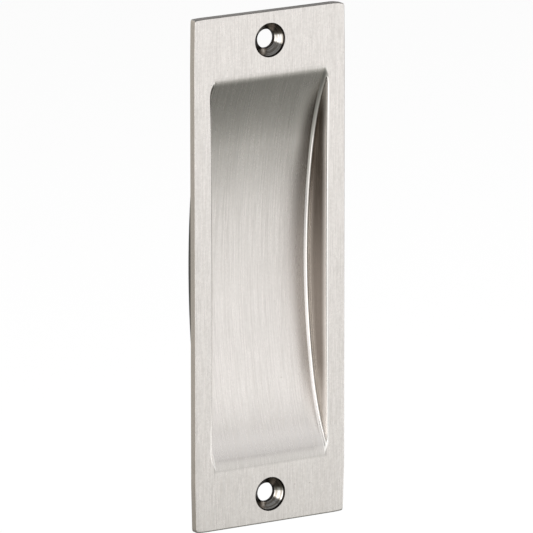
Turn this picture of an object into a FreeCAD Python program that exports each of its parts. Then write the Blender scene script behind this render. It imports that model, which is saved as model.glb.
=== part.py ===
import FreeCAD, Part
import math
import os
import Sketcher

# A flush pull for a pocket door: one cast piece, an upright plate with a scooped finger recess.
# X is across the plate, Z is up along it, and Y goes into the door.
# The origin is the middle of the plate's flat back, so the front face is at Y = -plate_thickness
# and the bowl of the recess stands out behind the plate, on +Y.

SIZES = {
    "plate_length": 120.0,
    "plate_width": 40.0,
    "plate_thickness": 2.8,
    "plate_corner": 0.4,          # rounding of the four corners, seen from the front
    "front_edge": 0.25,           # easing of the front edge all round
    "rear_bevel": 0.9,            # bevel of the back edge, which lets the plate drop into its rebate
    "end_margin": 14.0,           # plate left beyond each end of the recess
    "side_margin": 4.5,           # plate left beside the recess, at its two ends
    "recess_depth": 8.7,          # front face to the lowest line of the floor
    "side_bow": 0.35,             # how far each side of the opening is drawn in at mid height
    "middle_flatness": 1.2,       # radius of the floor's middle, as a share of one even arc's
    "end_tightness": 0.5,         # radius of the floor's two ends, as a share of the same
    "end_blend": 5.0,             # radius that rolls the floor over into the plate at both ends
    "run_out": 0.5,               # short flat slope between that blend and the front face, along Z
    "run_out_angle": 6.0,         # of that slope, in degrees
    "floor_fillet": 1.1,          # between the floor and the side walls
    "lip_radius": 0.6,            # rounding of the opening's edge
    "bowl_wall": 1.6,             # thickness of the floor and of the side walls
    "root_fillet": 1.0,           # between the bowl and the back of the plate
    "hole_inset": 6.75,           # end of the plate to the middle of its screw hole
    "hole_diameter": 4.4,
    "countersink_diameter": 8.0,
    "countersink_angle": 90.0,
    "countersink_rim": 0.25,      # short straight step at the mouth of the countersink
}

# Sizes that follow from the ones above, as formulas of the sheet.
DERIVED = {
    "half_length": "plate_length / 2 - end_margin",
    "half_width": "plate_width / 2 - side_margin",
    "hole_height": "plate_length / 2 - hole_inset",
    # Circle of each side wall's bow, seen from the front, and where its middle is.
    "bow_radius": "(half_length ^ 2 + side_bow ^ 2) / (2 * side_bow)",
    "bow_middle": "half_width - side_bow + bow_radius",
    # Joint of the flat slope and the end blend, seen from the side, and the middle of the blend.
    "joint_y": "run_out * tan(run_out_angle * 1deg) - plate_thickness",
    "joint_z": "half_length - run_out",
    "blend_y": "joint_y + end_blend * cos(run_out_angle * 1deg)",
    "blend_z": "joint_z + end_blend * sin(run_out_angle * 1deg)",
    # The even arc that would pass through the deepest line and touch the blend at both ends.
    "deepest_y": "recess_depth - plate_thickness",
    "blend_rise": "blend_y - deepest_y",
    "even_radius": "(blend_z ^ 2 + blend_rise ^ 2 - end_blend ^ 2) / (2 * (end_blend - blend_rise))",
    # The floor itself is a flatter middle arc between two tighter ones.
    "floor_radius": "middle_flatness * even_radius",
    "floor_middle": "deepest_y - floor_radius",
    "end_radius": "end_tightness * even_radius",
    # Middle of an end arc: it touches the middle arc from inside and the blend from outside.
    "to_floor": "floor_radius - end_radius",
    "to_blend": "end_radius + end_blend",
    "middles_rise": "blend_y - floor_middle",
    "middles_apart": "sqrt(middles_rise ^ 2 + blend_z ^ 2)",
    "foot": "(to_floor ^ 2 - to_blend ^ 2 + middles_apart ^ 2) / (2 * middles_apart)",
    "offset": "sqrt(to_floor ^ 2 - foot ^ 2)",
    "end_middle_y": "floor_middle + (foot * middles_rise + offset * blend_z) / middles_apart",
    "end_middle_z": "(foot * blend_z - offset * middles_rise) / middles_apart",
    "cone_length": "(countersink_diameter - hole_diameter) / 2 / tan(countersink_angle / 2 * 1deg)",
}

REACH = 6.0       # how far a cutting form goes past the face that it cuts
TOUCH = 1e-4      # distance under which a point counts as lying on a face


def add_sheet(doc):
    """Put every size in a sheet, each under its own alias."""
    sheet = doc.addObject("Spreadsheet::Sheet", "Sizes")
    cells = {alias: str(value) for alias, value in SIZES.items()}
    cells.update({alias: "=" + formula for alias, formula in DERIVED.items()})
    for row, (alias, content) in enumerate(cells.items(), start=1):
        sheet.set(f"A{row}", alias)
        sheet.set(f"B{row}", content)
        sheet.setAlias(f"B{row}", alias)
    doc.recompute()
    return sheet


def size(item, alias):
    """A size of the sheet, in millimetres or degrees."""
    return float(item.Document.Sizes.get(alias))


def add_sketch(body, plane, name):
    """Start a sketch on one of the body's own origin planes."""
    sketch = body.newObject("Sketcher::SketchObject", name)
    support = next(item for item in body.Origin.OriginFeatures if item.Role == plane)
    sketch.AttachmentSupport = [(support, "")]
    sketch.MapMode = "FlatFace"
    return sketch


def point(u, v):
    return FreeCAD.Vector(u, v, 0)


def add_line(sketch, start, end):
    return sketch.addGeometry(Part.LineSegment(point(*start), point(*end)), False)


def add_arc(sketch, middle, radius, start, end):
    """Draw an arc counter-clockwise from one angle to another."""
    circle = Part.Circle(point(*middle), FreeCAD.Vector(0, 0, 1), radius)
    return sketch.addGeometry(Part.ArcOfCircle(circle, start, end), False)


def add_outline(sketch, corners):
    """Draw a closed polygon and join its ends. Returns the index of each line."""
    lines = [add_line(sketch, start, end) for start, end in zip(corners, corners[1:] + corners[:1])]
    for line, following in zip(lines, lines[1:] + lines[:1]):
        sketch.addConstraint(Sketcher.Constraint("Coincident", line, 2, following, 1))
    return lines


def relate(sketch, relation, *items):
    """Add a relation that has no size, such as Tangent, to a sketch."""
    sketch.addConstraint(Sketcher.Constraint(relation, *items))


def drive(sketch, name, constraint, formula):
    """Name one dimension of a sketch and drive it by the sheet."""
    index = sketch.addConstraint(constraint)
    sketch.renameConstraint(index, name)
    sketch.setExpression(f"Constraints.{name}", formula)


def set_across(sketch, name, item, end, formula):
    """Drive the distance of a vertex from the sketch's upright axis."""
    distance = sketch.getPoint(item, end).x
    drive(sketch, name, Sketcher.Constraint("DistanceX", -1, 1, item, end, distance), formula)


def set_along(sketch, name, item, end, formula):
    """Drive the distance of a vertex from the sketch's level axis."""
    distance = sketch.getPoint(item, end).y
    drive(sketch, name, Sketcher.Constraint("DistanceY", -1, 1, item, end, distance), formula)


def set_radius(sketch, name, item, formula):
    """Drive the radius of an arc."""
    drive(sketch, name, Sketcher.Constraint("Radius", item, sketch.Geometry[item].Radius), formula)


def dress(body, kind, name, distance, formula, test):
    """Round or bevel the edges of a body whose points all pass the test."""
    base = body.Tip
    edges = []
    for number, edge in enumerate(base.Shape.Edges, start=1):
        if all(test(spot) for spot in edge.discretize(5)):
            edges.append(f"Edge{number}")
    feature = body.newObject(f"PartDesign::{kind}", name)
    feature.Base = (base, edges)
    feature.setExpression(distance, formula)
    body.Document.recompute()
    return feature


def draw_side_walls(body, wall, wall_formula):
    """Outline of the recess, or of the bowl one wall outside it, seen from the front."""
    sketch = add_sketch(body, "XZ_Plane", body.Name + "_outline")
    middle = size(body, "bow_middle")
    radius = size(body, "bow_radius") - wall
    end = size(body, "half_length") + REACH
    spread = math.asin(end / radius)
    end_across = middle - radius * math.cos(spread)

    right = add_arc(sketch, (middle, 0), radius, math.pi - spread, math.pi + spread)
    left = add_arc(sketch, (-middle, 0), radius, -spread, spread)
    top = add_line(sketch, (end_across, end), (-end_across, end))
    bottom = add_line(sketch, (-end_across, -end), (end_across, -end))
    relate(sketch, "Coincident", right, 1, top, 1)
    relate(sketch, "Coincident", top, 2, left, 2)
    relate(sketch, "Coincident", left, 1, bottom, 1)
    relate(sketch, "Coincident", bottom, 2, right, 2)
    relate(sketch, "Horizontal", top)
    relate(sketch, "Horizontal", bottom)
    relate(sketch, "PointOnObject", right, 3, -1)
    relate(sketch, "PointOnObject", left, 3, -1)
    set_across(sketch, "right_middle", right, 3, "Sizes.bow_middle")
    set_across(sketch, "left_middle", left, 3, "-Sizes.bow_middle")
    set_radius(sketch, "right_bow", right, f"Sizes.bow_radius - {wall_formula}")
    set_radius(sketch, "left_bow", left, f"Sizes.bow_radius - {wall_formula}")
    set_along(sketch, "top_end", top, 1, f"Sizes.half_length + {REACH}")
    set_along(sketch, "bottom_end", bottom, 1, f"-Sizes.half_length - {REACH}")
    return sketch


def draw_finger_floor(body):
    """Everything behind the recess's floor, seen from the side: its three arcs, blended into the plate."""
    sketch = add_sketch(body, "YZ_Plane", body.Name + "_floor")
    slope = math.radians(size(body, "run_out_angle"))
    blend = size(body, "end_blend")
    joint_y = size(body, "joint_y")
    joint_z = size(body, "joint_z")
    blend_y = size(body, "blend_y")
    blend_z = size(body, "blend_z")
    floor_middle = size(body, "floor_middle")
    middle_y = size(body, "end_middle_y")
    middle_z = size(body, "end_middle_z")
    radius = size(body, "end_radius")
    first_turn = math.atan2(middle_z, middle_y - floor_middle)
    last_turn = math.atan2(blend_z - middle_z, blend_y - middle_y)
    end = size(body, "half_length") + REACH
    end_y = -size(body, "plate_thickness") - REACH * math.tan(slope)
    back = size(body, "recess_depth") + size(body, "bowl_wall") + REACH

    floor = add_arc(sketch, (floor_middle, 0), size(body, "floor_radius"), -first_turn, first_turn)
    upper_end = add_arc(sketch, (middle_y, middle_z), radius, first_turn, last_turn)
    lower_end = add_arc(sketch, (middle_y, -middle_z), radius, -last_turn, -first_turn)
    upper = add_arc(sketch, (blend_y, blend_z), blend, math.pi + slope, math.pi + last_turn)
    lower = add_arc(sketch, (blend_y, -blend_z), blend, math.pi - last_turn, math.pi - slope)
    upper_run = add_line(sketch, (joint_y, joint_z), (end_y, end))
    lower_run = add_line(sketch, (joint_y, -joint_z), (end_y, -end))
    top = add_line(sketch, (end_y, end), (back, end))
    rear = add_line(sketch, (back, end), (back, -end))
    bottom = add_line(sketch, (back, -end), (end_y, -end))
    deepest = sketch.addGeometry(Part.Point(point(size(body, "deepest_y"), 0)), True)

    relate(sketch, "PointOnObject", floor, 3, -1)
    relate(sketch, "Tangent", floor, 2, upper_end, 1)
    relate(sketch, "Tangent", floor, 1, lower_end, 2)
    relate(sketch, "Tangent", upper_end, 2, upper, 2)
    relate(sketch, "Tangent", lower_end, 1, lower, 1)
    relate(sketch, "Tangent", upper, 1, upper_run, 1)
    relate(sketch, "Tangent", lower, 2, lower_run, 1)
    relate(sketch, "Coincident", upper_run, 2, top, 1)
    relate(sketch, "Coincident", top, 2, rear, 1)
    relate(sketch, "Coincident", rear, 2, bottom, 1)
    relate(sketch, "Coincident", bottom, 2, lower_run, 2)
    relate(sketch, "Horizontal", top)
    relate(sketch, "Horizontal", bottom)
    relate(sketch, "Vertical", rear)
    relate(sketch, "PointOnObject", deepest, 1, floor)
    relate(sketch, "PointOnObject", deepest, 1, -1)
    set_across(sketch, "depth", deepest, 1, "Sizes.deepest_y")
    set_radius(sketch, "floor_radius", floor, "Sizes.floor_radius")
    set_radius(sketch, "upper_end_radius", upper_end, "Sizes.end_radius")
    set_radius(sketch, "lower_end_radius", lower_end, "Sizes.end_radius")
    set_radius(sketch, "upper_blend", upper, "Sizes.end_blend")
    set_radius(sketch, "lower_blend", lower, "Sizes.end_blend")
    for name, run, sign in (("upper", upper_run, ""), ("lower", lower_run, "-")):
        set_across(sketch, name + "_joint_depth", run, 1, "Sizes.joint_y")
        set_along(sketch, name + "_joint", run, 1, f"{sign}Sizes.joint_z")
        set_across(sketch, name + "_end_depth", run, 2,
                   f"-Sizes.plate_thickness - {REACH} * tan(Sizes.run_out_angle * 1deg)")
        set_along(sketch, name + "_end", run, 2, f"{sign}(Sizes.half_length + {REACH})")
    set_across(sketch, "rear_face", rear, 1, f"Sizes.recess_depth + Sizes.bowl_wall + {REACH}")
    return sketch


def draw_bowl_back(body):
    """Everything behind the bowl's outer face, seen from the side: arcs one wall outside the floor's."""
    sketch = add_sketch(body, "YZ_Plane", body.Name + "_back")
    wall = size(body, "bowl_wall")
    floor_middle = size(body, "floor_middle")
    middle_y = size(body, "end_middle_y")
    middle_z = size(body, "end_middle_z")
    radius = size(body, "end_radius") + wall
    end = size(body, "half_length") + REACH
    first_turn = math.atan2(middle_z, middle_y - floor_middle)
    last_turn = math.asin((end - middle_z) / radius)
    end_y = middle_y + radius * math.cos(last_turn)
    back = size(body, "recess_depth") + wall + REACH

    floor = add_arc(sketch, (floor_middle, 0), size(body, "floor_radius") + wall, -first_turn, first_turn)
    upper_end = add_arc(sketch, (middle_y, middle_z), radius, first_turn, last_turn)
    lower_end = add_arc(sketch, (middle_y, -middle_z), radius, -last_turn, -first_turn)
    top = add_line(sketch, (end_y, end), (back, end))
    rear = add_line(sketch, (back, end), (back, -end))
    bottom = add_line(sketch, (back, -end), (end_y, -end))
    relate(sketch, "Tangent", floor, 2, upper_end, 1)
    relate(sketch, "Tangent", floor, 1, lower_end, 2)
    relate(sketch, "Coincident", upper_end, 2, top, 1)
    relate(sketch, "Coincident", top, 2, rear, 1)
    relate(sketch, "Coincident", rear, 2, bottom, 1)
    relate(sketch, "Coincident", bottom, 2, lower_end, 1)
    relate(sketch, "Horizontal", top)
    relate(sketch, "Horizontal", bottom)
    relate(sketch, "Vertical", rear)
    relate(sketch, "PointOnObject", floor, 3, -1)
    set_across(sketch, "floor_middle", floor, 3, "Sizes.floor_middle")
    set_radius(sketch, "floor_radius", floor, "Sizes.floor_radius + Sizes.bowl_wall")
    set_radius(sketch, "upper_end_radius", upper_end, "Sizes.end_radius + Sizes.bowl_wall")
    set_radius(sketch, "lower_end_radius", lower_end, "Sizes.end_radius + Sizes.bowl_wall")
    set_along(sketch, "upper_end_middle", upper_end, 3, "Sizes.end_middle_z")
    set_along(sketch, "lower_end_middle", lower_end, 3, "-Sizes.end_middle_z")
    set_along(sketch, "top_end", top, 1, f"Sizes.half_length + {REACH}")
    set_along(sketch, "bottom_end", bottom, 1, f"-Sizes.half_length - {REACH}")
    set_across(sketch, "rear_face", rear, 1, f"Sizes.recess_depth + Sizes.bowl_wall + {REACH}")
    return sketch


def cut_through(body, sketch, name):
    """Cut a sketch out of the body, right through on both sides of it."""
    before = body.Shape.Volume
    pocket = body.newObject("PartDesign::Pocket", name)
    pocket.Profile = sketch
    pocket.SideType = "Symmetric"
    pocket.Type = "ThroughAll"
    body.Document.recompute()
    if not body.Shape.Volume < before - TOUCH:
        raise RuntimeError(f"{name} cut nothing")
    return pocket


def make_form(doc, name, wall, wall_formula, draw_back):
    """A solid with the recess's shape: its side walls from the front, its floor from the side."""
    body = doc.addObject("PartDesign::Body", name)
    block = body.newObject("PartDesign::Pad", name + "_block")
    block.Profile = draw_side_walls(body, wall, wall_formula)
    block.SideType = "Symmetric"
    block.setExpression("Length", f"2 * (Sizes.recess_depth + Sizes.bowl_wall + {REACH})")
    doc.recompute()
    cut_through(body, draw_back(body), name + "_cut")

    open_face = -(size(body, "recess_depth") + size(body, "bowl_wall") + REACH)
    narrowest = size(body, "half_width") - size(body, "side_bow") + wall
    dress(body, "Fillet", name + "_rounding", "Radius", f"Sizes.floor_fillet + {wall_formula}",
          lambda spot: abs(spot.x) > narrowest - TOUCH and spot.y > open_face + TOUCH)
    return body


def make_cavity(doc):
    """The empty space of the finger recess."""
    return make_form(doc, "finger_space", 0, "0", draw_finger_floor)


def make_bowl(doc):
    """The outer form of the bowl behind the plate, cut off inside the plate's thickness."""
    wall = float(doc.Sizes.get("bowl_wall"))
    body = make_form(doc, "bowl_form", wall, "Sizes.bowl_wall", draw_bowl_back)
    sketch = add_sketch(body, "YZ_Plane", "bowl_form_trim")
    front = -(size(body, "recess_depth") + wall + 2 * REACH)
    middle = -size(body, "plate_thickness") / 2
    end = size(body, "half_length") + 2 * REACH
    bottom, right, top, left = add_outline(sketch, [
        (front, -end), (middle, -end), (middle, end), (front, end)])
    for line in (bottom, top):
        relate(sketch, "Horizontal", line)
    for line in (left, right):
        relate(sketch, "Vertical", line)
    set_across(sketch, "kept_from", right, 1, "-Sizes.plate_thickness / 2")
    set_across(sketch, "front_face", left, 1, f"-(Sizes.recess_depth + Sizes.bowl_wall + {2 * REACH})")
    set_along(sketch, "top_end", top, 1, f"Sizes.half_length + {2 * REACH}")
    set_along(sketch, "bottom_end", bottom, 1, f"-Sizes.half_length - {2 * REACH}")
    cut_through(body, sketch, "bowl_form_trimmed")
    return body


def draw_countersink(body):
    """Half section of a screw hole, turned about its own axis: step, cone and straight hole."""
    sketch = add_sketch(body, "YZ_Plane", "screw_hole_section")
    axis = size(body, "hole_height")
    front = -size(body, "plate_thickness")
    mouth = size(body, "countersink_diameter") / 2
    bore = size(body, "hole_diameter") / 2
    step = front + size(body, "countersink_rim")
    cone_end = step + size(body, "cone_length")
    centre, rear, hole, cone, rim, opening = add_outline(sketch, [
        (front - REACH, axis), (REACH, axis), (REACH, axis + bore), (cone_end, axis + bore),
        (step, axis + mouth), (front - REACH, axis + mouth)])
    for line in (centre, hole, rim):
        relate(sketch, "Horizontal", line)
    for line in (rear, opening):
        relate(sketch, "Vertical", line)
    set_along(sketch, "axis_height", centre, 1, "Sizes.hole_height")
    set_along(sketch, "bore_height", hole, 1, "Sizes.hole_height + Sizes.hole_diameter / 2")
    set_along(sketch, "mouth_height", rim, 1, "Sizes.hole_height + Sizes.countersink_diameter / 2")
    set_across(sketch, "step_end", cone, 2, "Sizes.countersink_rim - Sizes.plate_thickness")
    set_across(sketch, "cone_end", cone, 1,
               "Sizes.countersink_rim - Sizes.plate_thickness + Sizes.cone_length")
    set_across(sketch, "outside", centre, 1, f"-Sizes.plate_thickness - {REACH}")
    set_across(sketch, "inside", centre, 2, f"{REACH}")
    return sketch


def make_plate(body):
    """The flat plate: back edge bevelled, corners rounded, front edge eased."""
    sketch = add_sketch(body, "XZ_Plane", "plate_outline")
    side = size(body, "plate_width") / 2
    end = size(body, "plate_length") / 2
    front = -size(body, "plate_thickness")
    bottom, right, top, left = add_outline(sketch, [(-side, -end), (side, -end), (side, end), (-side, end)])
    for line in (bottom, top):
        relate(sketch, "Horizontal", line)
    for line in (left, right):
        relate(sketch, "Vertical", line)
    set_across(sketch, "left_side", bottom, 1, "-Sizes.plate_width / 2")
    set_across(sketch, "right_side", bottom, 2, "Sizes.plate_width / 2")
    set_along(sketch, "bottom_end", bottom, 1, "-Sizes.plate_length / 2")
    set_along(sketch, "top_end", top, 1, "Sizes.plate_length / 2")
    plate = body.newObject("PartDesign::Pad", "plate")
    plate.Profile = sketch
    plate.setExpression("Length", "Sizes.plate_thickness")
    body.Document.recompute()

    def on_corner(spot):
        return abs((side - abs(spot.x)) - (end - abs(spot.z))) < TOUCH

    dress(body, "Chamfer", "rear_bevelled", "Size", "Sizes.rear_bevel", lambda spot: spot.y > -TOUCH)
    dress(body, "Fillet", "corners_rounded", "Radius", "Sizes.plate_corner", on_corner)
    dress(body, "Fillet", "front_eased", "Radius", "Sizes.front_edge", lambda spot: spot.y < front + TOUCH)


def join(body, kind, tool, name):
    """Add another body to this one, or take it away."""
    boolean = body.newObject("PartDesign::Boolean", name)
    boolean.setObjects([tool])
    boolean.Type = kind
    body.Document.recompute()
    return boolean


def make_screw_holes(body):
    """Turn one countersunk hole at the top, and mirror it to the bottom."""
    before = body.Shape.Volume
    section = draw_countersink(body)
    hole = body.newObject("PartDesign::Groove", "upper_screw_hole")
    hole.Profile = section
    hole.ReferenceAxis = (section, ["Edge1"])
    hole.Angle = 360
    body.Document.recompute()
    one_hole = before - body.Shape.Volume
    level = next(item for item in body.Origin.OriginFeatures if item.Role == "XY_Plane")
    pair = body.newObject("PartDesign::Mirrored", "both_screw_holes")
    pair.Originals = [hole]
    pair.MirrorPlane = (level, [""])
    body.Tip = pair
    body.Document.recompute()
    both_holes = before - body.Shape.Volume
    if one_hole < TOUCH or abs(both_holes - 2 * one_hole) > TOUCH * both_holes:
        raise RuntimeError("the screw holes aren't both cut")


def make_pull(doc):
    """The whole pull, as one solid."""
    body = doc.addObject("PartDesign::Body", "pull_plate")
    body.Label = "pull_plate"
    body.Placement = FreeCAD.Placement()
    make_plate(body)
    join(body, "Fuse", make_bowl(doc), "bowl_added")
    join(body, "Cut", make_cavity(doc), "finger_space_taken")

    front = -size(body, "plate_thickness")
    side = size(body, "plate_width") / 2 - size(body, "rear_bevel")
    end = size(body, "plate_length") / 2 - size(body, "rear_bevel")

    def within_bevel(spot):
        return abs(spot.x) < side - TOUCH and abs(spot.z) < end - TOUCH

    dress(body, "Fillet", "bowl_root", "Radius", "Sizes.root_fillet",
          lambda spot: abs(spot.y) < TOUCH and within_bevel(spot))
    dress(body, "Fillet", "opening_lip", "Radius", "Sizes.lip_radius",
          lambda spot: abs(spot.y - front) < TOUCH and within_bevel(spot))
    make_screw_holes(body)
    return body


def check(doc, body):
    """Stop if a feature failed, or if the pull isn't one sound solid."""
    for item in doc.Objects:
        if "Invalid" in item.State or "Error" in item.State:
            raise RuntimeError(f"{item.Name} failed")
    shape = body.Shape
    if shape.isNull() or not shape.isValid() or len(shape.Solids) != 1:
        raise RuntimeError(f"{body.Name} isn't one sound solid")


doc = FreeCAD.newDocument("pocket_door_pull")
add_sheet(doc)
pull = make_pull(doc)
check(doc, pull)
os.makedirs("parts", exist_ok=True)
pull.Shape.exportStep(f"parts/{pull.Label}.step")
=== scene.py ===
import math

import bmesh
import bpy
from mathutils import Matrix, Vector


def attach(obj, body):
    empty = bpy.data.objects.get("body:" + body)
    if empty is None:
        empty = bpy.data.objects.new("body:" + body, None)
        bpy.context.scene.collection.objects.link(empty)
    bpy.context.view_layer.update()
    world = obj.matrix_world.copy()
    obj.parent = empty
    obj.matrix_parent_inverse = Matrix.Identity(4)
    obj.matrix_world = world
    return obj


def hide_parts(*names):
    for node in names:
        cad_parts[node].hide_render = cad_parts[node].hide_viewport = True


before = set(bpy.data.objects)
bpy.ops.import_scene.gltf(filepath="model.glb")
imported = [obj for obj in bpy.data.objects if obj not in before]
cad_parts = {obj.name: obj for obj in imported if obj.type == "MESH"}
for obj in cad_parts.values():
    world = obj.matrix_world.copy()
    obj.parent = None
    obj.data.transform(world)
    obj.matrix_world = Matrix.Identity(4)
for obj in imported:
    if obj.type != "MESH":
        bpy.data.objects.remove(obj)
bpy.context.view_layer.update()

# Flush pull for a pocket door, standing upright: X across, Z up, Y into the door, in metres.
# The plate's front face looks along -Y and the camera stands in front of it, to its left.
scene = bpy.context.scene


def direction(azimuth, elevation):
    # unit vector from the pull, azimuth 0 straight in front and positive to its right
    a, e = math.radians(azimuth), math.radians(elevation)
    return Vector((math.sin(a) * math.cos(e), -math.cos(a) * math.cos(e), math.sin(e)))


def aim(item, place, target):
    # put an item somewhere with its -Z side turned to the target
    look = Vector(target) - Vector(place)
    turn = look.to_track_quat("-Z", "Y").to_matrix().to_4x4()
    item.matrix_world = Matrix.Translation(Vector(place)) @ turn


def newTree(name):
    material = bpy.data.materials.new(name)
    material.use_nodes = True
    material.node_tree.nodes.clear()
    return material, material.node_tree


def setInputs(node, values):
    for key, value in values.items():
        socket = node.inputs[key]
        if isinstance(value, bpy.types.NodeSocket):
            node.id_data.links.new(value, socket)
        else:
            socket.default_value = value


def add(tree, kind, values=None, **settings):
    node = tree.nodes.new("ShaderNode" + kind)
    for key, value in settings.items():
        setattr(node, key, value)
    setInputs(node, values or {})
    return node


def maths(tree, operation, a, b=0.0):
    return add(tree, "Math", {0: a, 1: b}, operation=operation).outputs[0]


def vectors(tree, operation, a, b=(0.0, 0.0, 0.0)):
    node = add(tree, "VectorMath", {0: a, 1: b}, operation=operation)
    return node.outputs["Value" if operation in ("LENGTH", "DOT_PRODUCT") else "Vector"]


def between(tree, value, low, high, atLow=0.0, atHigh=1.0):
    # smooth step from one level to another
    node = add(tree, "MapRange", {"Value": value, "From Min": low, "From Max": high,
                                  "To Min": atLow, "To Max": atHigh}, interpolation_type="SMOOTHSTEP")
    return node.outputs["Result"]


def rising(tree, value, span):
    # from 0 to 1 over a span
    return between(tree, value, *span)


def falling(tree, value, span):
    return between(tree, value, *span, 1.0, 0.0)


def times(tree, first, *others):
    for other in others:
        first = maths(tree, "MULTIPLY", first, other)
    return first


def larger(tree, a, b):
    return maths(tree, "MAXIMUM", a, b)


def stretch(tree, value, foot, top):
    # 1 from a lower fade up to an upper one, 0 outside them
    return times(tree, rising(tree, value, foot), falling(tree, value, top))


def mixValue(tree, factor, a, b):
    return add(tree, "Mix", {0: factor, 2: a, 3: b}).outputs[0]


def mixColour(tree, factor, a, b):
    node = add(tree, "Mix", {0: factor, 6: a, 7: b}, data_type="RGBA")
    return node.outputs[2]


def mixVector(tree, factor, a, b):
    node = add(tree, "Mix", {0: factor, 4: a, 5: b}, data_type="VECTOR")
    return node.outputs[1]


pull = {
    # shape of the pull in millimetres, the same as the solid's
    "length": 120.0,
    "width": 40.0,
    "thickness": 2.8,
    "corner": 0.4,             # rounding of the plate's corners
    "frontEdge": 0.25,         # easing of the front edge
    "rearBevel": 0.9,
    "endMargin": 14.0,         # plate beyond the recess
    "sideMargin": 4.5,         # plate beside it
    "depth": 8.7,
    "sideBow": 0.35,
    "middleFlatness": 1.2,     # floor: a flatter middle arc and two tighter ends
    "endTightness": 0.5,
    "endBlend": 5.0,
    "runOut": 0.5,
    "runOutAngle": 6.0,
    "floorFillet": 1.1,
    "lip": 0.6,
    "wall": 1.593,             # a hair under the solid's, whose facets lie inside its curve
    "rootFillet": 1.0,
    "holeHeight": 53.25,
    "holeRadius": 2.2,
    "sinkRadius": 4.0,
    "sinkRim": 0.25,
    "sinkDepth": 1.8,
}

detail = {
    # how finely the mesh follows that shape
    "heightStep": 0.8,         # mm between the level sections of the recess
    "floorSpans": 12,          # faces across half the floor, and so on round a section
    "roundSpans": 8,
    "wallSpans": 3,
    "lipSpans": 5,
    "flatSpans": 4,
    "edgeSpans": 4,
    "closeSteps": 4,           # sections this many times closer where the floor runs out
    "plateHeights": (1.2, 3.0),    # sections of the plate, beyond the recess
    "leastStep": 0.01,
    "holeSides": 96,
    "cutBeyond": 1.5,          # how far a hole's cutter stands out of the plate
    "sharpAngle": 32,
    "normalWeight": 60,
}

wear = {
    # corners rubbed back a little: which side and end,
    # drop of the end and the width it runs over, drawing in of the side and the length it runs over
    "topRight": (1, 1, 0.45, 3.0, 0.20, 3.0),
    "bottomRight": (1, -1, 0.15, 3.0, 0.45, 6.0),
    "topLeft": (-1, 1, 0.12, 3.0, 0.22, 4.0),
    "bottomLeft": (-1, -1, 0.12, 3.0, 0.32, 5.0),
}
wearSpread = 1.6               # how soon each comes to its full amount


def floorShape():
    # the circles of the floor seen from the side, as (middle along Y, middle along Z, radius)
    slope = math.radians(pull["runOutAngle"])
    blend = pull["endBlend"]
    halfLength = pull["length"] / 2 - pull["endMargin"]
    jointY = pull["runOut"] * math.tan(slope) - pull["thickness"]
    jointZ = halfLength - pull["runOut"]
    blendY = jointY + blend * math.cos(slope)
    blendZ = jointZ + blend * math.sin(slope)
    deepest = pull["depth"] - pull["thickness"]
    rise = blendY - deepest
    evenRadius = (blendZ ** 2 + rise ** 2 - blend ** 2) / (2 * (blend - rise))
    middleRadius = pull["middleFlatness"] * evenRadius
    endRadius = pull["endTightness"] * evenRadius
    middleY = deepest - middleRadius
    # the end circle touches the middle one from inside and the blend from outside
    toMiddle = middleRadius - endRadius
    toBlend = endRadius + blend
    apartY = blendY - middleY
    apart = math.hypot(apartY, blendZ)
    foot = (toMiddle ** 2 - toBlend ** 2 + apart ** 2) / (2 * apart)
    offset = math.sqrt(toMiddle ** 2 - foot ** 2)
    endY = middleY + (foot * apartY + offset * blendZ) / apart
    endZ = (foot * blendZ - offset * apartY) / apart
    return {
        "middle": (middleY, 0.0, middleRadius),
        "end": (endY, endZ, endRadius),
        "blend": (blendY, blendZ, blend),
        "turn": math.atan2(endZ, endY - middleY),
        "lastTurn": math.atan2(blendZ - endZ, blendY - endY),
        "joint": jointZ,
        "halfLength": halfLength,
    }


floor = floorShape()


def onCircle(circle, z, inside=1):
    # place along Y and slope dy/dz of a circle at height z
    y, middle, radius = circle
    reach = math.sqrt(radius ** 2 - (z - middle) ** 2)
    return y + inside * reach, -inside * (z - middle) / reach


def floorAt(z):
    # inside floor of the recess at height z: place along Y, slope
    z = abs(z)
    front = -pull["thickness"]
    endZ, endRadius = floor["end"][1:]
    if z >= floor["halfLength"]:
        return front, 0.0
    if z >= floor["joint"]:
        slope = math.tan(math.radians(pull["runOutAngle"]))
        return front + (floor["halfLength"] - z) * slope, -slope
    if z >= endZ + endRadius * math.sin(floor["lastTurn"]):
        return onCircle(floor["blend"], z, -1)
    if z >= floor["middle"][2] * math.sin(floor["turn"]):
        return onCircle(floor["end"], z)
    return onCircle(floor["middle"], z)


def bowlAt(z):
    # outside of the bowl at height z, one wall behind the floor, with its root faired into the back
    z = abs(z)
    y, middle, radius = floor["end"]
    radius += pull["wall"]
    root = pull["rootFillet"]
    rootZ = middle + math.sqrt((radius + root) ** 2 - (root - y) ** 2)
    if z >= rootZ:
        return 0.0, 0.0
    if z >= middle + (rootZ - middle) * radius / (radius + root):
        return onCircle((root, rootZ, root), z, -1)
    middleRadius = floor["middle"][2] + pull["wall"]
    if z >= middleRadius * math.sin(floor["turn"]):
        return onCircle((y, middle, radius), z)
    return onCircle((floor["middle"][0], 0.0, middleRadius), z)


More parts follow.
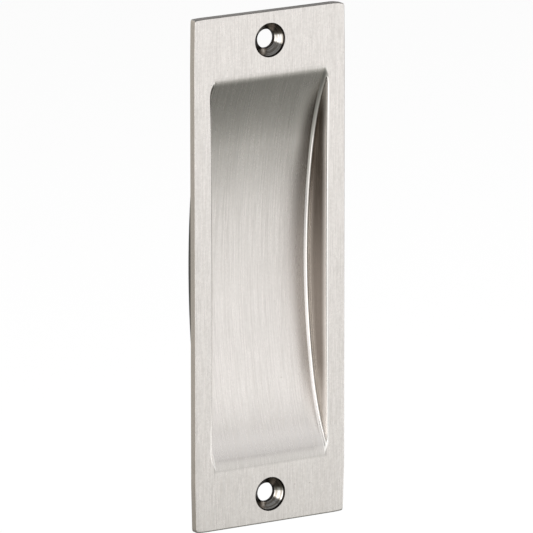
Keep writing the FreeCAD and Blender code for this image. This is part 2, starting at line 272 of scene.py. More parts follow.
def stepProfile(drop, edge, foot):
    # section of a step in a flat face: round its edge, down the wall, round its foot
    # as (distance in from the wall, depth); the wall vanishes where the drop is small
    if drop >= edge + foot:
        start, turn = -edge, math.pi / 2
    else:
        start = foot - math.sqrt(max((edge + foot) ** 2 - (edge + foot - drop) ** 2, 0.0))
        turn = math.atan2(foot - start, edge + foot - drop)
    points = []
    for i in range(detail["lipSpans"] + 1):
        a = turn * i / detail["lipSpans"]
        points.append((start + edge * math.sin(a), edge - edge * math.cos(a)))
    wallEnd = (foot - foot * math.sin(turn), drop - foot + foot * math.cos(turn))
    wallStart = points[-1]
    for i in range(1, detail["wallSpans"]):
        t = i / detail["wallSpans"]
        points.append(tuple(a + (b - a) * t for a, b in zip(wallStart, wallEnd)))
    for i in range(detail["roundSpans"] + 1):
        a = turn * (1 - i / detail["roundSpans"])
        points.append((foot - foot * math.sin(a), drop - foot + foot * math.cos(a)))
    return points


def wallAt(z):
    # half width of the recess at height z
    halfWidth = pull["width"] / 2 - pull["sideMargin"]
    halfLength = floor["halfLength"]
    bowRadius = (halfLength ** 2 + pull["sideBow"] ** 2) / (2 * pull["sideBow"])
    z = min(abs(z), halfLength)
    return halfWidth - pull["sideBow"] + bowRadius - math.sqrt(bowRadius ** 2 - z ** 2)


def roundOff(distance, radius):
    # how far a rounded edge falls back, at a distance from where it would have been sharp
    if distance >= radius:
        return 0.0
    return radius - math.sqrt(radius ** 2 - (radius - distance) ** 2)


def halfSection(z):
    # level section from the middle of the floor, round the right edge, to the middle of the back
    fromEnd = pull["length"] / 2 - abs(z)
    front = -pull["thickness"] + roundOff(fromEnd, pull["frontEdge"])
    easedY = -pull["thickness"] + pull["frontEdge"]
    side = pull["width"] / 2 - roundOff(fromEnd, pull["corner"])
    back = -max(pull["rearBevel"] - fromEnd, 0.0)
    wallX = wallAt(z)

    y, slope = floorAt(z)
    tilt = 1 / math.hypot(1, slope)
    step = stepProfile((y + pull["thickness"]) * tilt, pull["lip"], pull["floorFillet"])
    inner = [(wallX - u, front + w / tilt) for u, w in reversed(step)]
    points = []
    for i in range(detail["floorSpans"]):
        points.append((inner[0][0] * i / detail["floorSpans"], inner[0][1]))
    points += inner

    edge = pull["frontEdge"]
    for i in range(1, detail["flatSpans"]):
        points.append((inner[-1][0] + (side - edge - inner[-1][0]) * i / detail["flatSpans"], front))
    for i in range(detail["edgeSpans"] + 1):
        a = math.pi / 2 * i / detail["edgeSpans"]
        points.append((side - edge + edge * math.sin(a), easedY - (easedY - front) * math.cos(a)))
    points.append((side, -pull["rearBevel"]))

    y, slope = bowlAt(z)
    tilt = 1 / math.hypot(1, slope)
    step = stepProfile(y * tilt, pull["rootFillet"], pull["floorFillet"] + pull["wall"])
    outer = [(wallX + pull["wall"] - u, back + w / tilt) for u, w in step]
    bevelX = side - pull["rearBevel"] - back
    for i in range(detail["flatSpans"]):
        points.append((bevelX + (outer[0][0] - bevelX) * i / detail["flatSpans"], back))
    points += outer
    for i in range(1, detail["floorSpans"] + 1):
        points.append((outer[-1][0] * (1 - i / detail["floorSpans"]), outer[-1][1]))
    return points


def sectionHeights():
    # close together where the shape turns quickly, wider apart on the flat
    half = pull["length"] / 2
    count = math.ceil(floor["halfLength"] / detail["heightStep"])
    heights = {floor["halfLength"] * i / count for i in range(count + 1)}
    endZ, endRadius = floor["end"][1:]
    blendStart = endZ + endRadius * math.sin(floor["lastTurn"])
    fine = detail["heightStep"] / detail["closeSteps"]
    count = math.ceil((floor["halfLength"] - blendStart) / fine) + detail["closeSteps"]
    heights.update(floor["halfLength"] - fine * i for i in range(count + 1))
    heights.update(floor["halfLength"] + beyond for beyond in detail["plateHeights"])
    heights.add(half - pull["rearBevel"])
    for radius in (pull["corner"], pull["frontEdge"]):
        for i in range(detail["edgeSpans"] + 1):
            heights.add(half - radius * (1 - math.sin(math.pi / 2 * i / detail["edgeSpans"])))
    ordered = sorted(heights)
    kept = [ordered[0]]
    for height in ordered[1:]:
        if height - kept[-1] > detail["leastStep"]:
            kept.append(height)
    kept[-1] = half
    return [-h for h in reversed(kept[1:])] + kept


def wornBack(x, z):
    # rubbed corners: the plate's ends and sides fall back a little towards each corner
    for sideSign, endSign, drop, dropWidth, draw, drawLength in wear.values():
        if x * sideSign <= 0 or z * endSign <= 0:
            continue
        nearSide = max(1 - (pull["width"] / 2 - abs(x)) / dropWidth, 0.0)
        nearEnd = max(1 - (pull["length"] / 2 - abs(z)) / drawLength, 0.0)
        movedZ = z - endSign * drop * nearSide ** 2 * min(nearEnd * wearSpread, 1.0)
        movedX = x - sideSign * draw * nearEnd ** 2 * min(nearSide * wearSpread, 1.0)
        return movedX, movedZ
    return x, z


def makePull():
    mesh = bmesh.new()
    rings = []
    for z in sectionHeights():
        half = halfSection(z)
        outline = half + [(-x, y) for x, y in reversed(half[1:-1])]
        ring = []
        for x, y in outline:
            wornX, wornZ = wornBack(x, z)
            ring.append(mesh.verts.new((wornX / 1000, y / 1000, wornZ / 1000)))
        rings.append(ring)
    count = len(rings[0])
    for low, high in zip(rings, rings[1:]):
        for i in range(count):
            j = (i + 1) % count
            mesh.faces.new((low[i], low[j], high[j], high[i]))
    # the two end faces
    mesh.faces.new(list(reversed(rings[0])))
    mesh.faces.new(rings[-1])
    # where a step has no wall its points fall together
    bmesh.ops.remove_doubles(mesh, verts=mesh.verts, dist=2e-6)
    bmesh.ops.recalc_face_normals(mesh, faces=mesh.faces)
    data = bpy.data.meshes.new("pullPlate")
    mesh.to_mesh(data)
    mesh.free()
    item = bpy.data.objects.new("pullPlate", data)
    scene.collection.objects.link(item)
    return item


def makeHoleCutter(sign):
    # turned round the hole's axis: short rim, cone, straight hole
    front = -pull["thickness"]
    beyond = detail["cutBeyond"]
    section = [(0.0, front - beyond), (pull["sinkRadius"], front - beyond),
               (pull["sinkRadius"], front + pull["sinkRim"]),
               (pull["holeRadius"], front + pull["sinkRim"] + pull["sinkDepth"]),
               (pull["holeRadius"], beyond), (0.0, beyond)]
    mesh = bmesh.new()
    sides = detail["holeSides"]
    rings = []
    for radius, y in section:
        ring = []
        for i in range(sides if radius else 1):
            a = 2 * math.pi * i / sides
            ring.append(mesh.verts.new((radius * math.cos(a) / 1000, y / 1000,
                                        (sign * pull["holeHeight"] + radius * math.sin(a)) / 1000)))
        rings.append(ring)
    for near, far in zip(rings, rings[1:]):
        for i in range(sides):
            j = (i + 1) % sides
            corners = [near[i % len(near)], near[j % len(near)], far[j % len(far)], far[i % len(far)]]
            mesh.faces.new(list(dict.fromkeys(corners)))
    bmesh.ops.recalc_face_normals(mesh, faces=mesh.faces)
    data = bpy.data.meshes.new("holeCutter")
    mesh.to_mesh(data)
    mesh.free()
    item = bpy.data.objects.new("holeCutter", data)
    scene.collection.objects.link(item)
    return item


def finishMesh(item, cutters):
    # cut the holes, then weight the normals by face so that flats stay flat beside their rounded edges
    for cutter in cutters:
        cut = item.modifiers.new("cut", "BOOLEAN")
        cut.operation = "DIFFERENCE"
        cut.solver = "EXACT"
        cut.object = cutter
    graph = bpy.context.evaluated_depsgraph_get()
    solid = bpy.data.meshes.new_from_object(item.evaluated_get(graph))
    item.modifiers.clear()
    item.data = solid
    for cutter in cutters:
        bpy.data.objects.remove(cutter)
    solid.shade_smooth()
    solid.set_sharp_from_angle(angle=math.radians(detail["sharpAngle"]))
    weight = item.modifiers.new("weight", "WEIGHTED_NORMAL")
    weight.mode = "FACE_AREA"
    weight.weight = detail["normalWeight"]
    weight.keep_sharp = True
    graph = bpy.context.evaluated_depsgraph_get()
    item.data = bpy.data.meshes.new_from_object(item.evaluated_get(graph))
    item.modifiers.clear()
    item.data.name = "pullPlate"


plate = makePull()
finishMesh(plate, [makeHoleCutter(1), makeHoleCutter(-1)])
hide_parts("pull_plate")
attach(plate, "root")
print("pull modelled:", len(plate.data.polygons), "faces")


# the finishes are in metres, and a pair of numbers is the two ends of a fade, the smaller one first
finish = {
    "colour": (0.875, 0.836, 0.80, 1),      # satin nickel, a little warm
    "streakColour": (0.73, 0.695, 0.662, 1),    # the darker brush lines
    "streakStrength": 0.72,
    "sideColour": (0.77, 0.70, 0.61, 1),    # the plate's edges, a little browner
    "sideStart": 0.0190,                    # distance from the middle where they begin
    "roughness": 0.28,
    "roughnessRange": 0.10,                 # how much it changes from line to line
    "anisotropy": 0.70,
    "lineWidth": 0.00034,                   # width of one brush line
    "faceLineLength": 0.008,                # on the face, and longer down in the recess
    "lineLength": 0.018,
    "lineContrast": (0.38, 0.62),
    "hairWidth": 0.00017,                   # the finest scratches between them
    "hairLength": 0.0034,
    "hairShare": 0.4,
    "bandWidth": 0.0026,                    # wider, fainter bands of the same brushing
    "bandLength": 0.06,
    "bandContrast": (0.3, 0.7),
    "bandTint": (-0.10, 0.15),
    "grainSize": 0.0006,                    # fine uneven grain that breaks the lines up
    "grainContrast": (0.35, 0.65),
    "grainStrength": 0.20,
    "recessGrain": 0.5,                     # how much of it is left down in the recess
    "lineDepth": 0.000012,
    "bumpStrength": 0.5,
    "pitSpacing": 0.0022,                   # a few tiny pits in the casting
    "pitRadius": 0.07,
    "pitShare": 0.20,
    "pitColour": (0.50, 0.46, 0.42, 1),
}

recessFloor = {
    # patches of the floor painted darker or lighter than the rest: painted shade and painted light
    "halfWidth": 0.0152,
    "halfLength": 0.0462,
    "start": 0.000005,                      # depth below the face where the recess begins
    "shadeBandColour": (0.62, 0.595, 0.565, 1),  # painted shade where the floor runs out at the bottom
    "shadeBandFoot": (-0.0467, -0.0458),
    "shadeBandTop": (-0.0448, -0.0434),
    "shadeBandContrast": (0.3, 0.6),
    "shadeBandLeast": 0.6,
    "paintedLightColour": (0.97, 0.93, 0.895, 1),   # painted light just above that
    "paintedLightStrength": 0.7,
    "paintedLightFoot": (-0.0443, -0.0433),
    "paintedLightTop": (-0.0410, -0.0375),
    "stripEdge": (0.0080, 0.0118),          # and painted light again in a strip beside the right wall
    "stripFoot": (-0.030, -0.014),
    "stripTop": (-0.005, 0.020),
    "lowerEdge": (0.0118, 0.0138),          # which is narrower below
    "lowerTop": (-0.030, -0.018),
    "upperEdge": (0.0080, 0.0115),          # and comes back above
    "upperFoot": (0.018, 0.028),
    "upperTop": (0.0385, 0.0430),
    "upperRoughness": 0.24,
}

sideWalls = {
    # the brush doesn't reach the recess's side walls, so they are smoother; their colour is painted shade,
    # darker and browner, and painted lighter lower down and at the very top
    "reach": 0.0162,                        # half the width of the opening, with its lips
    "turn": (0.62, 0.95),                   # how far a surface faces inwards
    "colour": (0.26, 0.225, 0.195, 1),
    # painted shade, darkest towards the top
    "upperShadeColour": (0.057, 0.042, 0.029, 1),
    "upperFoot": (-0.010, 0.025),
    "endLightColour": (0.50, 0.46, 0.41, 1),     # painted lighter again at the very top
    "endFoot": (0.033, 0.043),
    # painted lighter towards the bottom
    "lowerLightColour": (0.80, 0.755, 0.71, 1),
    "lowerTop": (-0.043, -0.024),
    "tipLightColour": (0.97, 0.93, 0.89, 1),     # painted light where the wall runs out at the bottom
    "tipTop": (-0.042, -0.034),
    "footLightColour": (0.44, 0.405, 0.365, 1),  # painted light: a lighter band just above the floor
    "footReach": (0.0006, 0.0034),          # its height above it
    "footTop": (0.004, 0.024),
    "scratchColour": (0.20, 0.168, 0.14, 1),
    "scratchStrength": 0.45,
    "scratchContrast": (0.40, 0.62),
    "polished": (-0.0003, 0.0026),          # depth below the face where the brushed finish gives way
    "roughness": 0.18,
    "cornerRoughness": 0.10,                # along the foot and the lip of each wall
    "cornerFoot": (-0.030, -0.018),
    "brushEnds": (0.0138, 0.0147),          # distance from the middle where the brush lines fade out
}

lips = {
    # the long edges of the opening
    "colour": (0.95, 0.925, 0.89, 1),       # painted bright as a highlight
    "depth": (0.0004, 0.0010),
    "turn": (0.1, 0.3),
    "shadeColour": (0.07, 0.058, 0.045, 1),     # but the left one is painted dark near its top, as shade
    "topFoot": (0.034, 0.042),
    "topEnd": (0.0430, 0.0452),
    "topEndShade": 0.35,
    "lowerShade": 0.45,                     # and partly so further down
    "lowerFoot": (-0.040, -0.028),
    "lowerTop": (0.012, 0.030),
}

sinks = {
    # turned finish of the countersinks, with painted shade on their upper and left parts and dark rings
    # painted as shade at the rim and the bore's edge
    "radius": 0.00402,
    "start": 0.00002,                       # depth below the face where it begins
    "rimRadius": 0.00376,
    "boreRadius": 0.00230,
    "edgeFade": 0.00004,
    "colour": (0.85, 0.83, 0.805, 1),
    "grooveColour": (0.46, 0.42, 0.37, 1),  # the darker turned rings
    "grooveContrast": (0.42, 0.60),
    "shadeColour": (0.13, 0.10, 0.078, 1),  # painted shade on the upper and left part, in brown
    "shadeAbove": (0.0005, 0.0013),         # from the hole's own middle
    "shadeLeft": (-0.0022, 0.0002),
    "shadeContrast": (0.35, 0.65),
    "shadeLeast": 0.70,
    # painted shade at the rim and the bore's edge
    "edgeShadeColour": (0.028, 0.022, 0.018, 1),
    "ringWidth": 0.00016,
    "ringWobble": 150.0,                    # how soon a ring changes on its way round, per metre
    "roughness": 0.14,
    "roughnessRange": 0.08,
}

castBack = {
    # nearly black: left as cast, not brushed
    "colour": (0.14, 0.132, 0.122, 1),
    "mottle": (0.115, 0.108, 0.10, 1),      # uneven skin of the casting
    "mottleSize": 0.0022,
    "mottleContrast": (0.35, 0.65),
    "start": (-0.0004, 0.0),                # place along Y
    "roughness": 0.42,
}


def brushNoise(tree, place, width, length, roughness=0.6):
    # noise squeezed across the brush lines and stretched along them
    across, along = 1 / width, 1 / length
    spot = add(tree, "Mapping", {"Vector": place, "Scale": (across, 1.0, along)}).outputs["Vector"]
    return add(tree, "TexNoise", {"Vector": spot, "Scale": 1.0, "Detail": 2.0,
                                  "Roughness": roughness}).outputs[0]


def floorDepth(tree, z):
    # how far the recess's floor lies behind the face at height z, in metres
    part = maths(tree, "DIVIDE", maths(tree, "ABSOLUTE", z), 0.001 * floor["halfLength"])
    ramp = add(tree, "ValToRGB", {"Fac": part})
    stops = ramp.color_ramp.elements
    last = 12
    for number in range(last + 1):
        level = (floorAt(number / last * floor["halfLength"])[0] + pull["thickness"]) / pull["depth"]
        stop = stops[number] if number < 2 else stops.new(1.0)
        stop.position = number / last
        stop.color = (level, level, level, 1)
    return times(tree, ramp.outputs["Color"], 0.001 * pull["depth"])


def findParts(tree, place, normal):
    # where a point of the metal lies: its coordinates, and how much it belongs to each part, from 0 to 1
    spot = add(tree, "SeparateXYZ", {"Vector": place}).outputs
    facing = add(tree, "SeparateXYZ", {"Vector": normal}).outputs
    x, y, z = spot["X"], spot["Y"], spot["Z"]
    across = maths(tree, "ABSOLUTE", x)
    depth = maths(tree, "ADD", y, 0.001 * pull["thickness"])
    sideTurn = maths(tree, "ABSOLUTE", facing["X"])
    sideways = maths(tree, "GREATER_THAN", sideTurn, 0.75)
    onSide = times(tree, sideways, maths(tree, "GREATER_THAN", across, finish["sideStart"]))

    # the screw holes, from the middle of the nearer one
    fromHole = maths(tree, "SUBTRACT", maths(tree, "ABSOLUTE", z), 0.001 * pull["holeHeight"])
    spoke = add(tree, "CombineXYZ", {"X": x, "Y": 0.0, "Z": fromHole}).outputs[0]
    radius = vectors(tree, "LENGTH", spoke)
    inSink = times(tree, maths(tree, "LESS_THAN", radius, sinks["radius"]),
                   maths(tree, "GREATER_THAN", depth, sinks["start"]))

    # the recess, its side walls, the unbrushed corners along them, and the back
    inward = times(tree, facing["X"], maths(tree, "SIGN", x), -1.0)
    inOpening = maths(tree, "LESS_THAN", across, sideWalls["reach"])
    onWall = times(tree, rising(tree, inward, sideWalls["turn"]), inOpening)
    recessed = times(tree, inOpening, maths(tree, "GREATER_THAN", depth, recessFloor["start"]),
                     maths(tree, "LESS_THAN", maths(tree, "ABSOLUTE", z), recessFloor["halfLength"]))
    nearWall = times(tree, rising(tree, across, sideWalls["brushEnds"]), recessed)
    onBack = times(tree, rising(tree, y, castBack["start"]),
                   maths(tree, "GREATER_THAN", facing["Y"], -0.02), maths(tree, "LESS_THAN", inward, 0.5))
    return {"x": x, "y": y, "z": z, "across": across, "depth": depth, "sideTurn": sideTurn,
            "sideways": sideways, "onSide": onSide, "radius": radius, "inSink": inSink,
            "aboveHole": times(tree, fromHole, maths(tree, "SIGN", z)),
            "recessed": recessed, "onWall": onWall, "nearWall": nearWall, "onBack": onBack}


def brushMarks(tree, where):
    # brush lines along Z, side by side along X on the face and the floor, along Y on the sides
    over = mixValue(tree, where["sideways"], where["x"], where["y"])
    grain = add(tree, "CombineXYZ", {"X": over, "Y": 0.0, "Z": where["z"]}).outputs[0]
    lines = mixValue(tree, where["recessed"],
                     brushNoise(tree, grain, finish["lineWidth"], finish["faceLineLength"]),
                     brushNoise(tree, grain, finish["lineWidth"], finish["lineLength"]))
    hairs = brushNoise(tree, grain, finish["hairWidth"], finish["hairLength"])
    bands = brushNoise(tree, grain, finish["bandWidth"], finish["bandLength"], 0.5)
    scratches = maths(tree, "ADD", times(tree, lines, 1 - finish["hairShare"]),
                      times(tree, hairs, finish["hairShare"]))
    return scratches, hairs, bands


def pitMarks(tree, place):
    cells = add(tree, "TexVoronoi", {"Vector": place, "Scale": 1 / finish["pitSpacing"]}).outputs
    draw = add(tree, "SeparateXYZ", {"Vector": cells["Color"]}).outputs["X"]
    return times(tree, falling(tree, cells["Distance"], (finish["pitRadius"] * 0.5, finish["pitRadius"])),
                 maths(tree, "GREATER_THAN", draw, 1 - finish["pitShare"]))


def turnedRings(tree, where):
    place = add(tree, "CombineXYZ", {"X": maths(tree, "DIVIDE", where["radius"], sinks["ringWidth"]),
                                     "Y": times(tree, where["x"], sinks["ringWobble"]),
                                     "Z": times(tree, where["z"], sinks["ringWobble"])}).outputs[0]
    return add(tree, "TexNoise", {"Vector": place, "Scale": 1.0, "Detail": 2.0}).outputs[0]


def brushedColour(tree, place, where, scratches, bands, pits):
    tint = times(tree, rising(tree, scratches, finish["lineContrast"]), finish["streakStrength"])
    tint = maths(tree, "ADD", tint, between(tree, bands, *finish["bandContrast"], *finish["bandTint"]))
    strength = finish["grainStrength"]
    speckle = add(tree, "TexNoise", {"Vector": place, "Scale": 1 / finish["grainSize"],
                                     "Detail": 3.0}).outputs[0]
    speckle = between(tree, speckle, *finish["grainContrast"], -strength, strength)
    speckle = times(tree, speckle, mixValue(tree, where["recessed"], 1.0, finish["recessGrain"]))
    tint = maths(tree, "ADD", tint, speckle)
    colour = mixColour(tree, tint, finish["colour"], finish["streakColour"])
    colour = mixColour(tree, where["onSide"], colour, finish["sideColour"])
    return mixColour(tree, pits, colour, finish["pitColour"])


def upperStrip(tree, where):
    # part of the floor beside the right wall, near the top, painted paler as light and given a smoother
    # finish
    return times(tree, rising(tree, where["x"], recessFloor["upperEdge"]),
                 stretch(tree, where["z"], recessFloor["upperFoot"], recessFloor["upperTop"]))


def floorColour(tree, where, colour, hairs, upper):
    x, z = where["x"], where["z"]
    middle = maths(tree, "LESS_THAN", where["across"], recessFloor["halfWidth"])
    # painted light: the floor painted paler just above the run-out and in strips beside the right wall
    pale = times(tree, stretch(tree, z, recessFloor["paintedLightFoot"], recessFloor["paintedLightTop"]),
                 middle, recessFloor["paintedLightStrength"])
    strip = times(tree, rising(tree, x, recessFloor["stripEdge"]),
                  stretch(tree, z, recessFloor["stripFoot"], recessFloor["stripTop"]))
    lower = times(tree, rising(tree, x, recessFloor["lowerEdge"]), falling(tree, z, recessFloor["lowerTop"]))
    strip = larger(tree, strip, larger(tree, lower, upper))
    pale = larger(tree, pale, times(tree, strip, where["recessed"]))
    # painted shade: a darker band where the floor runs out at the bottom, broken up by the fine scratches
    shadeBand = times(tree, stretch(tree, z, recessFloor["shadeBandFoot"], recessFloor["shadeBandTop"]), middle,
                 between(tree, hairs, *recessFloor["shadeBandContrast"], recessFloor["shadeBandLeast"], 1.0))
    colour = mixColour(tree, pale, colour, recessFloor["paintedLightColour"])
    return mixColour(tree, shadeBand, colour, recessFloor["shadeBandColour"])


def lipColour(tree, where, colour):
    z = where["z"]
    # painted highlight along the lips, and painted shade on the left lip near its top and partly further
    # down
    paintedLip = times(tree, where["nearWall"], falling(tree, where["depth"], lips["depth"]),
                   rising(tree, where["sideTurn"], lips["turn"]))
    top = times(tree, rising(tree, z, lips["topFoot"]),
                between(tree, z, *lips["topEnd"], 1.0, lips["topEndShade"]))
    lower = times(tree, stretch(tree, z, lips["lowerFoot"], lips["lowerTop"]), lips["lowerShade"])
    left = times(tree, maths(tree, "LESS_THAN", where["x"], 0.0), larger(tree, top, lower))
    colour = mixColour(tree, paintedLip, colour, lips["colour"])
    return mixColour(tree, times(tree, paintedLip, left), colour, lips["shadeColour"])


def wallColour(tree, where, scratches):
    z = where["z"]
    # painted shade and painted light on the side walls: dark above, lighter towards the bottom and at the
    # very top, a lighter band above the floor; the scratches are wear
    colour = mixColour(tree, rising(tree, z, sideWalls["upperFoot"]),
                       sideWalls["colour"], sideWalls["upperShadeColour"])
    colour = mixColour(tree, falling(tree, z, sideWalls["lowerTop"]), colour, sideWalls["lowerLightColour"])
    colour = mixColour(tree, falling(tree, z, sideWalls["tipTop"]), colour, sideWalls["tipLightColour"])
    colour = mixColour(tree, rising(tree, z, sideWalls["endFoot"]), colour, sideWalls["endLightColour"])
    aboveFloor = maths(tree, "SUBTRACT", floorDepth(tree, z), where["depth"])
    foot = times(tree, falling(tree, aboveFloor, sideWalls["footReach"]),
                 falling(tree, z, sideWalls["footTop"]))
    colour = mixColour(tree, foot, colour, sideWalls["footLightColour"])
    worn = times(tree, rising(tree, scratches, sideWalls["scratchContrast"]), sideWalls["scratchStrength"])
    return mixColour(tree, worn, colour, sideWalls["scratchColour"])


def sinkColour(tree, where, rings):
    fade = sinks["edgeFade"]
    # painted shade: near-black rings at the rim and the bore's edge, and the upper and left part darkened
    edge = larger(tree, rising(tree, where["radius"], (sinks["rimRadius"] - fade, sinks["rimRadius"])),
                  falling(tree, where["radius"], (sinks["boreRadius"], sinks["boreRadius"] + fade)))
    shade = larger(tree, rising(tree, where["aboveHole"], sinks["shadeAbove"]),
                   falling(tree, where["x"], sinks["shadeLeft"]))
    shade = times(tree, shade, between(tree, rings, *sinks["shadeContrast"], 1.0, sinks["shadeLeast"]))
    colour = mixColour(tree, rising(tree, rings, sinks["grooveContrast"]),
                       sinks["colour"], sinks["grooveColour"])
    colour = mixColour(tree, shade, colour, sinks["shadeColour"])
    return mixColour(tree, edge, colour, sinks["edgeShadeColour"])


def backColour(tree, place):
    skin = add(tree, "TexNoise", {"Vector": place, "Scale": 1 / castBack["mottleSize"],
                                  "Detail": 4.0}).outputs[0]
    return mixColour(tree, rising(tree, skin, castBack["mottleContrast"]),
                     castBack["colour"], castBack["mottle"])


def metalRoughness(tree, where, scratches, rings, upper):
    rough = maths(tree, "ADD", finish["roughness"] - finish["roughnessRange"] / 2,
                  times(tree, scratches, finish["roughnessRange"]))
    rough = mixValue(tree, times(tree, upper, where["recessed"]), rough, recessFloor["upperRoughness"])
    corner = times(tree, where["nearWall"], rising(tree, where["z"], sideWalls["cornerFoot"]))
    rough = mixValue(tree, corner, rough, sideWalls["cornerRoughness"])
    rough = mixValue(tree, where["onWall"], rough, sideWalls["roughness"])
    turned = maths(tree, "ADD", sinks["roughness"] - sinks["roughnessRange"] / 2,
                   times(tree, rings, sinks["roughnessRange"]))
    rough = mixValue(tree, where["inSink"], rough, turned)
    return mixValue(tree, where["onBack"], rough, castBack["roughness"])


def brushTangent(tree, where, normal):
    # highlights spread across the brush lines and the turned rings, so the tangent lies across them
    across = vectors(tree, "CROSS_PRODUCT", normal, (0.01, 0.0, 1.0))
    spoke = add(tree, "CombineXYZ", {"X": where["x"], "Y": 0.0, "Z": where["aboveHole"]}).outputs[0]
    ring = vectors(tree, "CROSS_PRODUCT", spoke, (0.0, 1.0, 0.0))
    outward = vectors(tree, "CROSS_PRODUCT", normal, ring)
    return mixVector(tree, where["inSink"], vectors(tree, "NORMALIZE", across),
                     vectors(tree, "NORMALIZE", outward))


def makeSatinNickel():
    material, tree = newTree("satinNickel")
    place = add(tree, "TexCoord").outputs["Object"]
    normal = add(tree, "NewGeometry").outputs["Normal"]
    where = findParts(tree, place, normal)
    scratches, hairs, bands = brushMarks(tree, where)
    pits = pitMarks(tree, place)
    rings = turnedRings(tree, where)
    upper = upperStrip(tree, where)

    colour = brushedColour(tree, place, where, scratches, bands, pits)
    colour = floorColour(tree, where, colour, hairs, upper)
    colour = lipColour(tree, where, colour)
    # the side walls take their painted shade and light where the brushed finish gives way
    unbrushedShadedWall = times(tree, where["onWall"], rising(tree, where["depth"], sideWalls["polished"]))
    colour = mixColour(tree, unbrushedShadedWall, colour, wallColour(tree, where, scratches))
    colour = mixColour(tree, where["inSink"], colour, sinkColour(tree, where, rings))
    colour = mixColour(tree, where["onBack"], colour, backColour(tree, place))

    brushed = maths(tree, "SUBTRACT", 1.0, larger(tree, where["nearWall"], where["inSink"]))
    relief = maths(tree, "SUBTRACT", times(tree, scratches, brushed), pits)
    bump = add(tree, "Bump", {"Strength": finish["bumpStrength"], "Distance": finish["lineDepth"],
                              "Height": relief})
    shader = add(tree, "BsdfPrincipled", {
        "Base Color": colour, "Metallic": 1.0,
        "Roughness": metalRoughness(tree, where, scratches, rings, upper),
        "Anisotropic": finish["anisotropy"], "Tangent": brushTangent(tree, where, normal),
        "Normal": bump.outputs["Normal"]})
    add(tree, "OutputMaterial", {"Surface": shader.outputs[0]})
    return material


satinNickel = makeSatinNickel()
plate.data.materials.clear()
plate.data.materials.append(satinNickel)
print("satin nickel on the plate")

studio = {
    # a white room, a pale floor, and grey cards that only the metal's reflections see
    "floorHeight": -0.20,
    "floorSize": 12.0,
    "floorColour": (0.93, 0.93, 0.93, 1),
    "floorGlow": 0.36,          # keeps the floor white outside the shadow
    "roomLight": 0.60,
}


def glossyOnly(item):
    item.visible_camera = False
    item.visible_diffuse = False
    item.visible_transmission = False
    item.visible_shadow = False


def addSheet(name, corners):
    mesh = bpy.data.meshes.new(name)
    mesh.from_pydata(corners, [], [(0, 1, 2, 3)])
    item = bpy.data.objects.new(name, mesh)
    scene.collection.objects.link(item)
    return item


def makeGlow(name, low, high, reach=1.0):
    # a card's light, from its lower to its upper edge, which it reaches part of the way up
    material, tree = newTree(name)
    height = add(tree, "SeparateXYZ", {"Vector": add(tree, "TexCoord").outputs["Generated"]}).outputs["Y"]
    level = between(tree, height, 0.0, reach, low, high)
    glow = add(tree, "Emission", {"Color": (1.0, 1.0, 1.0, 1), "Strength": level})
    add(tree, "OutputMaterial", {"Surface": glow.outputs[0]})
    return material


cards = {
    # name: azimuth, elevation, distance, width, height, level at its lower and upper edge
    "cameraCard": (-14, -18, 0.50, 0.42, 0.28, 0.36, 0.95),
    "lensCard": (-32, 30, 0.46, 0.16, 0.26, 0.10, 0.10),
    "stripLight": (-52, -9, 0.42, 0.12, 0.42, 1.3, 2.2),
    "strapCard": (-55, 38, 0.42, 0.16, 0.20, 0.20, 0.20),
    "leftCard": (-116, 0, 0.55, 1.05, 0.80, 0.36, 0.62),
    "rightCard": (119, 0, 0.60, 0.64, 0.80, 0.05, 0.14),
    "rightStrip": (76, -14, 0.30, 0.13, 0.13, 2.0, 0.10),
    "backCard": (165, 5, 0.60, 0.52, 0.80, 0.20, 0.30),
    "highCard": (55, 31.0, 0.70, 1.10, 0.50, 0.92, 0.22),
}


def addCard(name, azimuth, elevation, distance, width, height, low, high):
    w, h = width / 2, height / 2
    item = addSheet(name, [(-w, -h, 0), (w, -h, 0), (w, h, 0), (-w, h, 0)])
    aim(item, direction(azimuth, elevation) * distance, (0, 0, 0))
    item.data.materials.append(makeGlow(name, low, high))
    glossyOnly(item)


topCard = {
    # lies flat over the pull
    "side": 0.45,
    "height": 0.42,
    "level": 0.18,
}


def addTopCard():
    s, h = topCard["side"], topCard["height"]
    item = addSheet("topCard", [(-s, -s, h), (-s, s, h), (s, s, h), (s, -s, h)])
    item.data.materials.append(makeGlow("topCard", topCard["level"], topCard["level"]))
    glossyOnly(item)


rearMat = {
    # a darker stretch of table behind the pull
    "side": 1.3,
    "near": 0.02,
    "far": 1.3,
    "lift": 0.007,
    "nearLevel": 0.08,
    "farLevel": 0.68,
    "reach": 0.57,              # share of its depth where it gets to the far level
}


def addRearMat():
    side, near, far = rearMat["side"], rearMat["near"], rearMat["far"]
    h = studio["floorHeight"] + rearMat["lift"]
    item = addSheet("rearMat", [(-side, near, h), (side, near, h), (side, far, h), (-side, far, h)])
    glow = makeGlow("rearMat", rearMat["nearLevel"], rearMat["farLevel"], rearMat["reach"])
    item.data.materials.append(glow)
    glossyOnly(item)


mat = {
    # a dark mat under the pull that fades out towards the room
    "middle": (0.0, -0.06),
    "size": 2.4,
    "lift": 0.005,
    "tint": (1.0, 1.02, 0.93),  # of its darkest part, a warm grey
    "fade": (                   # distance from its middle, level
        (0.0, 0.11), (0.10, 0.13), (0.207, 0.25), (0.334, 0.47), (0.46, 0.91), (0.80, 0.92), (1.10, 0.99)),
}


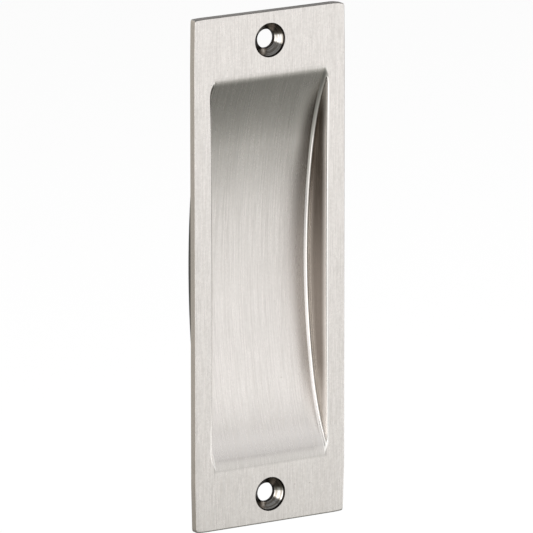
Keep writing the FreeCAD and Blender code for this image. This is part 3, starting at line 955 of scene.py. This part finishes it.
def addMat():
    half = mat["size"] / 2
    item = addSheet("mat", [(-half, -half, 0), (half, -half, 0), (half, half, 0), (-half, half, 0)])
    item.location = (*mat["middle"], studio["floorHeight"] + mat["lift"])
    material, tree = newTree("matFade")
    away = vectors(tree, "LENGTH", add(tree, "TexCoord").outputs["Object"])
    ramp = add(tree, "ValToRGB", {"Fac": maths(tree, "DIVIDE", away, half)})
    stops = ramp.color_ramp.elements
    for number, (distance, level) in enumerate(mat["fade"]):
        stop = stops[number] if number < 2 else stops.new(1.0)
        stop.position = distance / half
        stop.color = (*(level * (1 + (part - 1) * (1 - level)) for part in mat["tint"]), 1)
    glow = add(tree, "Emission", {"Color": ramp.outputs["Color"], "Strength": 1.0})
    add(tree, "OutputMaterial", {"Surface": glow.outputs[0]})
    item.data.materials.append(material)
    glossyOnly(item)


def seenDirectly(tree):
    # 1 for what the camera and the reflections see, 0 for the light that falls on things
    rays = add(tree, "LightPath").outputs
    mirrored = larger(tree, rays["Is Glossy Ray"], rays["Is Transmission Ray"])
    return larger(tree, rays["Is Camera Ray"], mirrored)


def addFloor():
    s, h = studio["floorSize"] / 2, studio["floorHeight"]
    item = addSheet("floor", [(-s, -s, h), (s, -s, h), (s, s, h), (-s, s, h)])
    material, tree = newTree("paleFloor")
    body = add(tree, "BsdfDiffuse", {"Color": studio["floorColour"]})
    glow = add(tree, "Emission", {"Color": (1, 1, 1, 1),
                                  "Strength": times(tree, seenDirectly(tree), studio["floorGlow"])})
    both = add(tree, "AddShader", {0: body.outputs[0], 1: glow.outputs[0]})
    add(tree, "OutputMaterial", {"Surface": both.outputs[0]})
    item.data.materials.append(material)


def addRoom():
    world = bpy.data.worlds.new("room")
    world.use_nodes = True
    tree = world.node_tree
    tree.nodes.clear()
    level = mixValue(tree, seenDirectly(tree), studio["roomLight"], 1.0)
    light = add(tree, "Background", {"Color": (1, 1, 1, 1), "Strength": level})
    add(tree, "OutputWorld", {"Surface": light.outputs[0]})
    scene.world = world


lamps = {
    # name: place, width, watts
    "keyLamp": ((0.9, -1.1, 1.1), 0.9, 6.0),
    "fillLamp": ((-1.2, -0.8, 0.9), 0.9, 3.0),
}


def addLamp(name, place, width, watts):
    data = bpy.data.lights.new(name, "AREA")
    data.size = width
    data.energy = watts
    item = bpy.data.objects.new(name, data)
    scene.collection.objects.link(item)
    aim(item, place, (0, 0, 0))
    item.visible_glossy = False


addRoom()
addFloor()
addMat()
addRearMat()
addTopCard()
for name, values in cards.items():
    addCard(name, *values)
for name, values in lamps.items():
    addLamp(name, *values)
print("studio set up")

camera = {
    "lens": 622.2,             # mm, a long lens from two metres away
    "sensor": 36,
    "azimuth": -31.27,         # degrees round from straight in front, towards the left
    "elevation": 13.68,
    "roll": -0.03,
    "distance": 2.0997,
    "target": (-0.00099, -0.0028, 0.00056),
    "nearest": 0.05,           # metres from the camera that it can see
    "farthest": 50,
}


def addCamera():
    data = bpy.data.cameras.new("camera")
    data.lens = camera["lens"]
    data.sensor_width = camera["sensor"]
    data.clip_start = camera["nearest"]
    data.clip_end = camera["farthest"]
    item = bpy.data.objects.new("camera", data)
    scene.collection.objects.link(item)
    target = Vector(camera["target"])
    back = direction(camera["azimuth"], camera["elevation"])
    aim(item, target + back * camera["distance"], target)
    item.matrix_world = item.matrix_world @ Matrix.Rotation(math.radians(camera["roll"]), 4, "Z")
    scene.camera = item


addCamera()
scene.view_settings.view_transform = "Standard"
print("camera placed")
